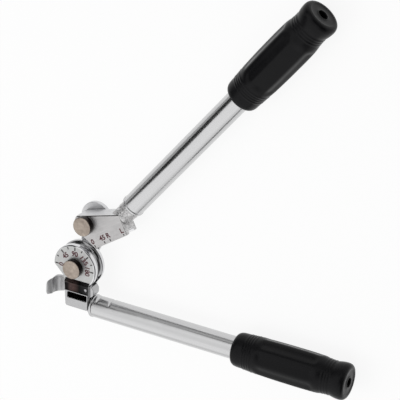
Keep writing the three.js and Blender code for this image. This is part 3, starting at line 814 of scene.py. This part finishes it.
def shoe():
    corner = Vector((-heel_length, edge_line))
    to_corner = math.degrees(math.atan2(corner.y, corner.x))
    spread = math.degrees(math.acos(shoe_round / corner.length))
    top_angle = 90 - math.degrees(top_slope) + math.degrees(math.acos(top_height / shoe_round))
    shoulder = (top_height - shoulder_length * math.sin(top_slope)) / math.cos(top_slope)
    outline = [tuple(corner), (toe_length, edge_line), (toe_length + toe_lean, edge_line + toe_height)]
    outline += [(shoulder_length, shoulder)]
    outline += arc((0, 0), shoe_round, top_angle, to_corner - spread + 360, 40)
    piece = round_edges(as_object("shoe", raise_slab(outline, -half_width, half_width)), 0.8 * MM, 30)
    neck_start = toe_length - handle_offset
    to_line = handle_line @ lay_down
    neck = lumpy_neck(neck_start, upper_tube_start - gap)
    shank = round_bar(shank_radius, neck_start, upper_tube_start + shank_length, steps=96)
    for bar in (neck, shank):
        bar.data.transform(to_line)
    carve(piece, [neck, shank], "UNION")
    groove = round_bar(groove_radius, -3 * toe_length, 3 * toe_length, steps=96)
    mouth = edge_line + shoe_pin_height
    flare = 0.6 * MM
    carve(groove, [as_object("flare", raise_slab(
        [(mouth + flare, groove_radius - flare), (mouth - flare, groove_radius + flare),
         (mouth - flare, -groove_radius - flare), (mouth + flare, flare - groove_radius)],
        -3 * toe_length, 3 * toe_length))], "UNION")
    groove.data.transform(Matrix.Translation((0, -shoe_pin_height, 0)) @ lay_down)
    carve(piece, [groove, round_bar(bore_radius, -2 * half_width, 2 * half_width)])

    def is_cast(centre, normal):
        past_toe = centre.x > toe_length + 0.05 * MM
        on_neck = (to_line.inverted() @ centre).z > neck_start + 2 * MM and centre.x > shoulder_length * 0.9
        outside = abs(normal.z) < 0.97 or centre.x > toe_length
        return past_toe or (on_neck and outside and centre.y > -0.2 * shoe_pin_height and normal.x > -0.9)

    def in_groove(centre, normal):
        return math.hypot(centre.y + shoe_pin_height, centre.z) < groove_radius * 1.05

    def on_top_edge(centre, normal):
        along_top = -0.2 * shoe_round < centre.x < shoulder_length and centre.z > half_width - MM
        return along_top and 0.2 < normal.z < 0.98 and normal.y > 0.1 and centre.y > 0

    def on_top_wall(centre, normal):
        return normal.y > 0.9 and abs(normal.z) < 0.2 and centre.x < shoulder_length

    def in_seam(centre, normal):
        on_line = to_line.inverted() @ centre
        return (upper_tube_start - gap - seam_length - 0.1 * MM < on_line.z < upper_tube_start
                and math.hypot(on_line.x, on_line.y) < neck_radius - 0.3 * MM)

    # Painted dark lines: the top edge takes a painted dark reflection, and the seam at the neck takes painted
    # shade.
    return dress(piece, at_shoe, shoe_face, "shoe", angle=28,
                 others=[(polished, in_groove), (painted_shade_and_dark_reflection, on_top_edge), (painted_shade_and_dark_reflection, in_seam),
                         (cast_chrome, is_cast), (link_face, on_top_wall)])


shoe()

# %% [markdown]
# The head of the lower handle is a forked casting, bright as a mirror. Its cheeks take
# the foot of the former. The front has a sloped step that reflects the pin, and a deep
# window below it. A round lobe runs up behind the scale, two small lugs carry the
# latch, and a shank goes inside the lower tube.

# %% Handle head
head_top = 15.2 * MM
head_bottom = 41 * MM
head_left = 9.5 * MM
head_taper = 2 * MM
head_right = 17.4 * MM
lobe_right = 22 * MM
lobe_bottom = 27.4 * MM
lobe_radius = 5 * MM
lobe_rear = 1.5 * MM
front = half_width + 2.9 * MM
rear = half_width + 2.6 * MM
window_top = 25.6 * MM
window_height = 6 * MM
window_left = 5.2 * MM
window_right = 16 * MM
window_depth = 17 * MM
hinge_x = 12.7 * MM
hinge_drop = 7.4 * MM
knuckle_radius = 3.3 * MM
knuckle_length = 12 * MM
latch_top = 22 * MM
lug_length = 3 * MM
head_edge = 0.5 * MM
lug_edge = 0.4 * MM
latch_pin_radius = 1.6 * MM
rear_corner = (3.8 * MM, 10 * MM)
dowels = [(-3.5 * MM, -19.6 * MM), (8 * MM, -19.6 * MM)]
dowel_radius = 2 * MM
dowel_top = 14 * MM - half_width
dowel_hole_top = 14.3 * MM - half_width
ledge_top = 12.5 * MM
crease = 16.3 * MM
dimples = [(-1.8 * MM, -20.4 * MM), (14.4 * MM, -19.8 * MM)]
dimple_radius = 3.2 * MM
dimple_lift = 2.1 * MM
# Turns a slab so that its outline is read as X and Z and its height runs towards -Y.
stand_up = Matrix.Rotation(math.pi / 2, 4, "X")


def along_head(outline, top, bottom):
    """An X and Z outline drawn out from the top of the head towards the bottom."""
    return as_object("rib", raise_slab(outline, top, bottom), stand_up)


def handle_head():
    over = 2 * MM
    corner = 2.6 * MM
    outline = [(-head_left, -ledge_top)]
    outline += arc((head_taper - head_left + corner, corner - head_bottom), corner, 184, 270, 8)
    outline += arc((head_right - corner / 2, corner / 2 - head_bottom), corner / 2, -90, 0, 6)
    outline += [(head_right, -ledge_top)]
    piece = round_edges(as_object("head", raise_slab(outline, -rear, front)), head_edge, 35)
    # The side view, read as -Y and Z: a steep ledge over the former, a hollow and the flat front.
    side = [(ledge_top, half_width), (ledge_top, half_width + 2 * play),
            (crease - 0.6 * MM, front - 0.2 * MM), (crease, front - 0.6 * MM),
            (window_top - 2.2 * MM, front - 0.7 * MM), (window_top - 1.1 * MM, front),
            (head_bottom + over, front), (head_bottom + over, -rear - over), (head_top, -rear - over),
            (head_top, half_width)]
    side_view = as_object("side", raise_slab(side, -head_left - over, lobe_right + over))
    side_view.data.transform(Matrix(((0, 0, 1, 0), (-1, 0, 0, 0), (0, 1, 0, 0), (0, 0, 0, 1))))
    carve(piece, [side_view], "INTERSECT")
    cut_x, cut_z = head_right - rear_corner[0], rear_corner[1] - rear
    cut = [(head_right + over, -rear - over), (head_right + over, cut_z), (head_right, cut_z), (cut_x, -rear),
           (cut_x, -rear - over)]
    carve(piece, [along_head(cut, head_top - over, head_bottom + over)])
    centre = lobe_right - lobe_radius
    lobe = [(0, -head_top), (0, -lobe_bottom)]
    lobe += arc((centre, lobe_radius - lobe_bottom), lobe_radius, -90, 0, 12)
    lobe += arc((centre, -head_top - lobe_radius), lobe_radius, 0, 90, 12)
    joined = [round_edges(as_object("lobe", raise_slab(lobe, -lobe_rear, half_width)), head_edge, 35)]
    lug = arc((-hinge_x, -hinge_drop), knuckle_radius, 90, 270, 24)
    lug += [(0, -hinge_drop - knuckle_radius), (0, knuckle_radius - hinge_drop)]
    for top in (latch_top - gap - lug_length, latch_top + knuckle_length + gap):
        joined.append(round_edges(along_head(lug, top, top + lug_length), lug_edge, 35))
    shank = round_bar(shank_radius, head_right - over, lower_tube_start + shank_length, steps=96)
    shank.data.transform(Matrix.Translation((0, -handle_drop, 0)) @ lay_down)
    carve(piece, joined + [shank], "UNION")

    slot = half_width + play
    cuts = [brick(-foot_left - gap, foot_right + gap, -foot_depth - gap, over, -slot, slot),
            brick(-head_left - over, -foot_left, -head_top - foot_left, over, -slot, slot),
            round_bar(former_radius + gap, -slot, slot, steps=180)]
    soft = 1 * MM
    x0, x1 = -window_left, window_right
    y0, y1 = -window_top - window_height, -window_top
    spots = [(x1 - soft, y1 - soft), (x0 + soft, y1 - soft), (x0 + soft, y0 + soft),
             (x1 - soft, y0 + soft)]
    window = [point for i, spot in enumerate(spots) for point in arc(spot, soft, 90 * i, 90 * i + 90, 4)]
    cuts.append(as_object("window", raise_slab(window, front - window_depth, front + over)))
    mouth = raise_slab(window, front - head_edge, front + head_edge)
    for vert in mouth.verts:
        if vert.co.z > front:
            vert.co.x += math.copysign(2 * head_edge, vert.co.x - (x0 + x1) / 2)
            vert.co.y += math.copysign(2 * head_edge, vert.co.y - (y0 + y1) / 2)
    cuts.append(as_object("mouth", mouth))
    for x, y in dowels:
        cuts.append(round_bar(dowel_radius + 0.2 * MM, -rear - over, dowel_hole_top, x, y))
    for x, y in dimples:
        bm = bmesh.new()
        bmesh.ops.create_uvsphere(bm, u_segments=32, v_segments=20, radius=dimple_radius)
        cuts.append(as_object("dimple", bm, Matrix.Translation((x, y, front + dimple_lift))))
    knuckle = arc((-hinge_x, -hinge_drop), knuckle_radius + gap, 0, 345, 23)
    cuts.append(along_head(knuckle, latch_top - gap, latch_top + knuckle_length + gap))
    pin_hole = arc((-hinge_x, -hinge_drop), latch_pin_radius + 0.2 * MM, 0, 345, 23)
    cuts.append(along_head(pin_hole, head_top, head_bottom + over))
    carve(piece, cuts)

    def in_front(centre, normal):
        return centre.z > half_width + play and normal.z > 0.5

    def on_ledge(centre, normal):
        return in_front(centre, normal) and centre.y > -crease - 0.2 * MM

    def in_dimple(centre, normal):
        x, y = dimples[-1]
        near = math.hypot(centre.x - x, centre.y - y) < 2.6 * MM
        return near and in_front(centre, normal) and centre.z < front - 0.75 * MM

    def in_hollow(centre, normal):
        return in_front(centre, normal) and -window_top + 1.2 * MM < centre.y < -crease + 0.2 * MM

    def in_window(centre, normal):
        across = -window_left < centre.x < window_right
        down = window_top - 0.1 * MM < -centre.y < window_top + window_height + 0.1 * MM
        deep = front - window_depth - MM < centre.z < front - MM
        wall = (normal.x > 0.5 or normal.y > 0.5) and centre.z > front - window_depth + MM
        return across and down and deep and not wall

    # The ledge and the hollow take the painted reflection, and the floor of the deep window takes it too, as
    # painted shade in the recess.
    return dress(piece, at_main_pin, head_chrome, "handle_head", angle=35,
                 others=[(ledge_painted_reflection, on_ledge), (plain_steel, in_dimple), (hollow_painted_shade_and_reflection, in_hollow),
                         (hollow_painted_shade_and_reflection, in_window)])


handle_head()
for number, (x, y) in enumerate(dowels, 1):
    dowel = turn([(0, -rear), (dowel_radius, -rear), (dowel_radius, dowel_top), (0, dowel_top)], 48)
    node = "former_dowel_%d" % number
    dowel = as_object(node, dowel, Matrix.Translation((x, y, 0)))
    dress(dowel, at_main_pin, plain_steel, node, edge=0.2 * MM)

# %% [markdown]
# The latch is a flat hook. It comes up behind the tube from its hinge, wraps the outer
# side and ends in a lip. Seen from the side it is a J, and seen from the front it
# widens towards a rounded foot. So the J is drawn as an outer and an inner line, and
# rings that stand across both are bridged, each as wide as the front view is there.

# %% Latch and its pin
latch_inner = groove_radius + 0.35 * MM
latch_wall = 4.2 * MM
lip_reach = 3.4 * MM
lip_thickness = 2.8 * MM
lip_splay = 24
lip_foot = 158
hook_upper = [(-0.2, 0), (0.55, 0), (0.8, -0.03), (0.95, -0.25), (1.02, -0.55)]
hook_lower = [(-0.2, -1), (0.2, -1.02), (0.35, -1.2), (0.7, -1.4), (0.86, -1.46), (0.98, -1.36), (1.03, -1.1)]
stations = 64
pin_overhang = 0.5 * MM


def resample(points, count):
    """The same chain of points, evenly spaced."""
    runs = [0.0]
    for first, second in zip(points, points[1:]):
        runs.append(runs[-1] + math.dist(first, second))
    spaced = []
    for i in range(count + 1):
        along = runs[-1] * i / count
        k = max(j for j in range(len(points) - 1) if runs[j] <= along)
        share = (along - runs[k]) / (runs[k + 1] - runs[k])
        spaced.append(tuple(p + (q - p) * share for p, q in zip(points[k], points[k + 1])))
    return spaced


def on_arc(centre, radius, angle):
    """One point of an arc."""
    return arc(centre, radius, angle, angle, 1)[0]


def latch():
    outer_radius = latch_inner + latch_wall
    lean = 180 - lip_splay
    half_tip = lip_thickness / 2
    foot = on_arc((-bend_radius, 0), latch_inner, lip_foot)
    rise = on_arc((0, 0), lip_reach, lip_foot - lip_splay)
    across = on_arc((0, 0), half_tip, lean)
    tip = tuple(sum(parts) for parts in zip(foot, rise, across))
    knuckle = (-hinge_x, -hinge_drop)
    outer = arc(knuckle, knuckle_radius, 10, -90, 20) + arc((-bend_radius, 0), outer_radius, 262, 190, 48)
    outer = resample(outer + arc(tip, half_tip, lean, lean - 90, 8), stations)
    inner = arc(knuckle, knuckle_radius, 10, 80, 20) + arc((-bend_radius, 0), latch_inner, 285, lip_foot, 56)
    inner = resample(inner + arc(tip, half_tip, lean - 180, lean - 90, 8), stations)
    reach = bend_radius + outer_radius - hinge_x
    bm = bmesh.new()
    rings = []
    for pair in list(zip(outer, inner))[1:-1]:
        corners = []
        for edge_chain, points in ((hook_upper, pair), (hook_lower, pair[::-1])):
            for x, z in points:
                share = curve_through(edge_chain, min(edge_chain[-1][0], (-x - hinge_x) / reach))
                corners.append(bm.verts.new((x, share * knuckle_length - latch_top, z)))
        rings.append([bm.edges.new((corners[i], corners[(i + 1) % 4])) for i in range(4)])
    for first, second in zip(rings, rings[1:]):
        bmesh.ops.bridge_loops(bm, edges=first + second)
    for ring in (rings[0], rings[-1]):
        bmesh.ops.contextual_create(bm, geom=ring)
    bmesh.ops.recalc_face_normals(bm, faces=bm.faces)
    piece = as_object("latch", bm)
    return dress(piece, at_main_pin, latch_chrome, "latch", edge=0.5 * MM, angle=40)


latch()
pin_low = latch_top - gap - lug_length - pin_overhang
pin_length = knuckle_length + 2 * (gap + lug_length + pin_overhang)
pin_outline = arc((-hinge_x, -hinge_drop), latch_pin_radius, 0, 350, 35)
hinge_pin = along_head(pin_outline, pin_low, pin_low + pin_length)
dress(hinge_pin, at_main_pin, pin_steel, "latch_pin", edge=0.25 * MM, angle=50)

# %% [markdown]
# The scale is stamped into the face of the former and filled with dark red paint. Nine
# ticks stand 22.5 degrees apart, and every second one has a number. On the shoe, four
# marks line up with the scale: 0 for the start, 45, and R and L for the hand that the
# bend is made from. They are thin solids that lie a hair above the metal.

# %% Scale and marks
ink_height = 0.06 * MM
face_height = half_width - 0.02 * MM
number_size = 6.9 * MM
tick_outer = 21.4 * MM
tick_long = 17.6 * MM
tick_short = 19 * MM
tick_step = 22.5
long_width = 1.3 * MM
short_width = 1 * MM
shoe_tick_width = 1.1 * MM
number_line = 14.3 * MM
stroke_share = 0.034
shoe_tick_shift = 0.6 * MM
letter_shift = 0.4 * MM
# The text, its place along the shoe and the height of its tick, both in mm.
shoe_letters = [("0", -1.7, 3.6), ("45", 10.7, 3.5), ("R", 17.9, 3.5), ("L", 34.8, 2.6)]
letter_rise = 3.4


def mark_bar(start, end, width):
    """A thin painted stroke from start to end."""
    run = Vector(end) - Vector(start)
    across = Vector((-run.y, run.x)).normalized() * width / 2
    points = [Vector(start) + across, Vector(start) - across, Vector(end) - across, Vector(end) + across]
    return raise_slab([tuple(point) for point in points], face_height, face_height + ink_height)


def number_mesh(text, size, centre, turn_by, name):
    """A number or letter as a flat solid, centred and turned on the face."""
    curve = bpy.data.curves.new(name, "FONT")
    curve.body = text
    curve.size = size
    curve.align_x = "CENTER"
    curve.align_y = "CENTER"
    curve.extrude = ink_height / 2
    curve.offset = stroke_share * size
    draft = bpy.data.objects.new(name, curve)
    bpy.context.scene.collection.objects.link(draft)
    mesh = bpy.data.meshes.new_from_object(draft.evaluated_get(bpy.context.evaluated_depsgraph_get()))
    bpy.data.objects.remove(draft)
    place = Matrix.Translation((*centre, face_height + ink_height / 2)) @ Matrix.Rotation(turn_by, 4, "Z")
    mesh.transform(place)
    piece = bpy.data.objects.new(name, mesh)
    bpy.context.scene.collection.objects.link(piece)
    return piece


def ink(piece, name, place, material, body):
    piece.name = name
    piece.data.transform(place)
    piece.data.materials.clear()
    piece.data.materials.append(material)
    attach(piece, body)


def scale():
    for step in range(9):
        degrees = tick_step * step
        angle = math.radians(180 - degrees)
        towards = Vector((math.cos(angle), math.sin(angle)))
        long_tick = step % 2 == 0
        inner, width = (tick_long, long_width) if long_tick else (tick_short, short_width)
        tick = as_object("tick", mark_bar(towards * tick_outer, towards * inner, width))
        ink(tick, "scale_tick_%d" % step, at_main_pin, dark_fill, "lower_handle")
        if long_tick:
            text = str(int(degrees))
            number = number_mesh(text, number_size, towards * number_line, angle - math.pi / 2, "number")
            ink(number, "scale_number_" + text, at_main_pin, red_fill, "lower_handle")


def shoe_marks():
    for text, along, tall in shoe_letters:
        start = (along * MM + shoe_tick_shift, edge_line + 1 * MM)
        end = (along * MM + shoe_tick_shift, edge_line + tall * MM)
        tick = as_object("tick", mark_bar(start, end, shoe_tick_width))
        ink(tick, "shoe_tick_" + text, at_shoe, dark_fill, "upper_handle")
        centre = (along * MM + letter_shift, edge_line + (tall + letter_rise) * MM)
        letter = number_mesh(text, number_size, centre, 0, "letter")
        ink(letter, "shoe_mark_" + text, at_shoe, red_fill, "upper_handle")


scale()
shoe_marks()
print("ticks and numbers made")

# %% [markdown]
# Chrome shows the room more than itself, so the light matters as much as the metal.
# The world is a white tent that darkens towards the horizon, least on the side that
# faces the open handles. Four soft dark patches stand for the camera with the person
# behind it, the opening of the tent and dark things in the room. They darken the sides
# of the pins, which are also painted near black as painted shade.

# %% Tent
tent_levels = [(0.0, 0.42), (0.15, 0.46), (0.38, 0.62), (0.6, 0.98), (0.78, 1.08), (0.9, 0.98), (1.0, 0.9)]
bright_side = Vector((0.25, -0.92, 0.3)).normalized()
bright_side_gain = 0.42
brightest = 1.12
# Each has its direction, the angles where it starts and ends to fade, and its level.
dark_patches = [(towards_camera, 18, 32, 0.02), (Vector((-0.27, 0.83, 0.49)), 3, 10, 0.03),
                (Vector((-0.7, 0.65, 0.3)), 9, 17, 0.04), (Vector((0.86, -0.22, 0.36)), 20, 44, 0.1)]


def angle_patch(tree, direction, towards, inner, outer, inside, outside):
    """A soft round patch of the world: a value inside, another outside, by angle."""
    facing = add_node(tree, "VectorMath", {0: direction, 1: towards.normalized()}, operation="DOT_PRODUCT")
    fade = add_node(tree, "MapRange", {
        "Value": facing["Value"], "From Min": math.cos(math.radians(outer)),
        "From Max": math.cos(math.radians(inner)), "To Min": outside, "To Max": inside},
        interpolation_type="SMOOTHSTEP")
    return fade["Result"]


def combine(tree, first, second, operation):
    """One step of arithmetic on two values."""
    return add_node(tree, "Math", {0: first, 1: second}, operation=operation)["Value"]


def tent():
    world = bpy.data.worlds.new("tent")
    bpy.context.scene.world = world
    world.use_nodes = True
    tree = world.node_tree
    direction = add_node(tree, "TexCoord", {})["Generated"]
    height = add_node(tree, "SeparateXYZ", {"Vector": direction})["Z"]
    level = add_ramp(tree, height, [(place, (grey, grey, grey)) for place, grey in tent_levels], "EASE")
    side = angle_patch(tree, direction, bright_side, 15, 75, bright_side_gain, 0)
    level = combine(tree, combine(tree, level, side, "ADD"), brightest, "MINIMUM")
    for towards, inner, outer, inside in dark_patches:
        patch = angle_patch(tree, direction, towards, inner, outer, inside, 1)
        level = combine(tree, level, patch, "MULTIPLY")
    path = add_node(tree, "LightPath", {})
    shown = add_node(tree, "Mix", {"Factor": path["Is Camera Ray"], "A": level, "B": 1})
    background = tree.nodes["Background"].inputs
    background["Color"].default_value = (1, 1, 1, 1)
    feed(tree, shown["Result"], background["Strength"])


tent()
print("tent levels:", len(tent_levels), "dark patches:", len(dark_patches))

# %% [markdown]
# The table is white and shows as white to the camera and in the metal, but it keeps a
# faint shadow, mixed in from a plain matt surface. Dark cards are seen only in
# reflections. The large one stands beside the upper handle and draws the dark streak
# along its tube, darkest near the grip, because the card ends before the head. The
# small one darkens a patch near the head. One soft lamp gives the shadow its side.

# %% Table, cards and lamp
white_share = 0.9
card_brightness = 0.02
card_distance = 500 * MM
card_start = 55 * MM
card_length = 400 * MM
card_width = 240 * MM


def table():
    bm = bmesh.new()
    bmesh.ops.create_grid(bm, x_segments=1, y_segments=1, size=6)
    top = as_object("table", bm, Matrix.Translation((0.1, 0.1, -0.05 * MM)))
    material, tree, shader = new_finish("white_table", 0)
    shader.inputs["Base Color"].default_value = (0.9, 0.9, 0.9, 1)
    shader.inputs["Roughness"].default_value = 0.9
    path = add_node(tree, "LightPath", {})
    seen = combine(tree, path["Is Camera Ray"], path["Is Glossy Ray"], "MAXIMUM")
    seen = combine(tree, seen, path["Is Transmission Ray"], "MAXIMUM")
    glow = add_node(tree, "Emission", {"Color": (1, 1, 1, 1)})["Emission"]
    mix = add_node(tree, "MixShader", {
        "Fac": combine(tree, seen, white_share, "MULTIPLY"), 1: shader.outputs["BSDF"], 2: glow})
    feed(tree, mix["Shader"], tree.nodes["Material Output"].inputs["Surface"])
    top.data.materials.append(material)


def card(name, place, towards, width, height):
    """A flat dark card that only reflections see."""
    bm = bmesh.new()
    bmesh.ops.create_grid(bm, x_segments=1, y_segments=1, size=0.5)
    bmesh.ops.scale(bm, verts=bm.verts, vec=(width, height, 1))
    facing = Vector(towards).to_track_quat("Z", "Y").to_matrix().to_4x4()
    piece = as_object(name, bm, Matrix.Translation(place) @ facing)
    material, tree, shader = new_finish(name, 0)
    glow = add_node(tree, "Emission", {"Strength": card_brightness})["Emission"]
    feed(tree, glow, tree.nodes["Material Output"].inputs["Surface"])
    tree.nodes.remove(shader)
    piece.data.materials.append(material)
    piece.visible_camera = False
    piece.visible_diffuse = False
    piece.visible_shadow = False
    piece.visible_transmission = False


def soft_lamp(name, place, target, size, power):
    data = bpy.data.lights.new(name, "AREA")
    data.shape = "SQUARE"
    data.size = size
    data.energy = power
    lamp = bpy.data.objects.new(name, data)
    lamp.location = place
    lamp.rotation_euler = (Vector(target) - Vector(place)).to_track_quat("-Z", "Y").to_euler()
    lamp.visible_glossy = False
    bpy.context.scene.collection.objects.link(lamp)


table()
streak_from = Vector((-0.84, -0.04, 0.53)).normalized()
handle_way = Vector((math.cos(shoe_turn + handle_turn), math.sin(shoe_turn + handle_turn), 0))
card_place = shoe_pin_place + handle_way * (card_start + card_length / 2) + streak_from * card_distance
card("dark_card", card_place, streak_from, card_length, card_width)
card("small_dark_card", (-56 * MM, 91 * MM, 118 * MM), (-0.407, 0.7, 0.59), 32 * MM, 24 * MM)
soft_lamp("key_lamp", (-0.5, -0.3, 1.2), (0.1, 0.05, 0), 0.8, 6)
print("table, cards and lamp set")
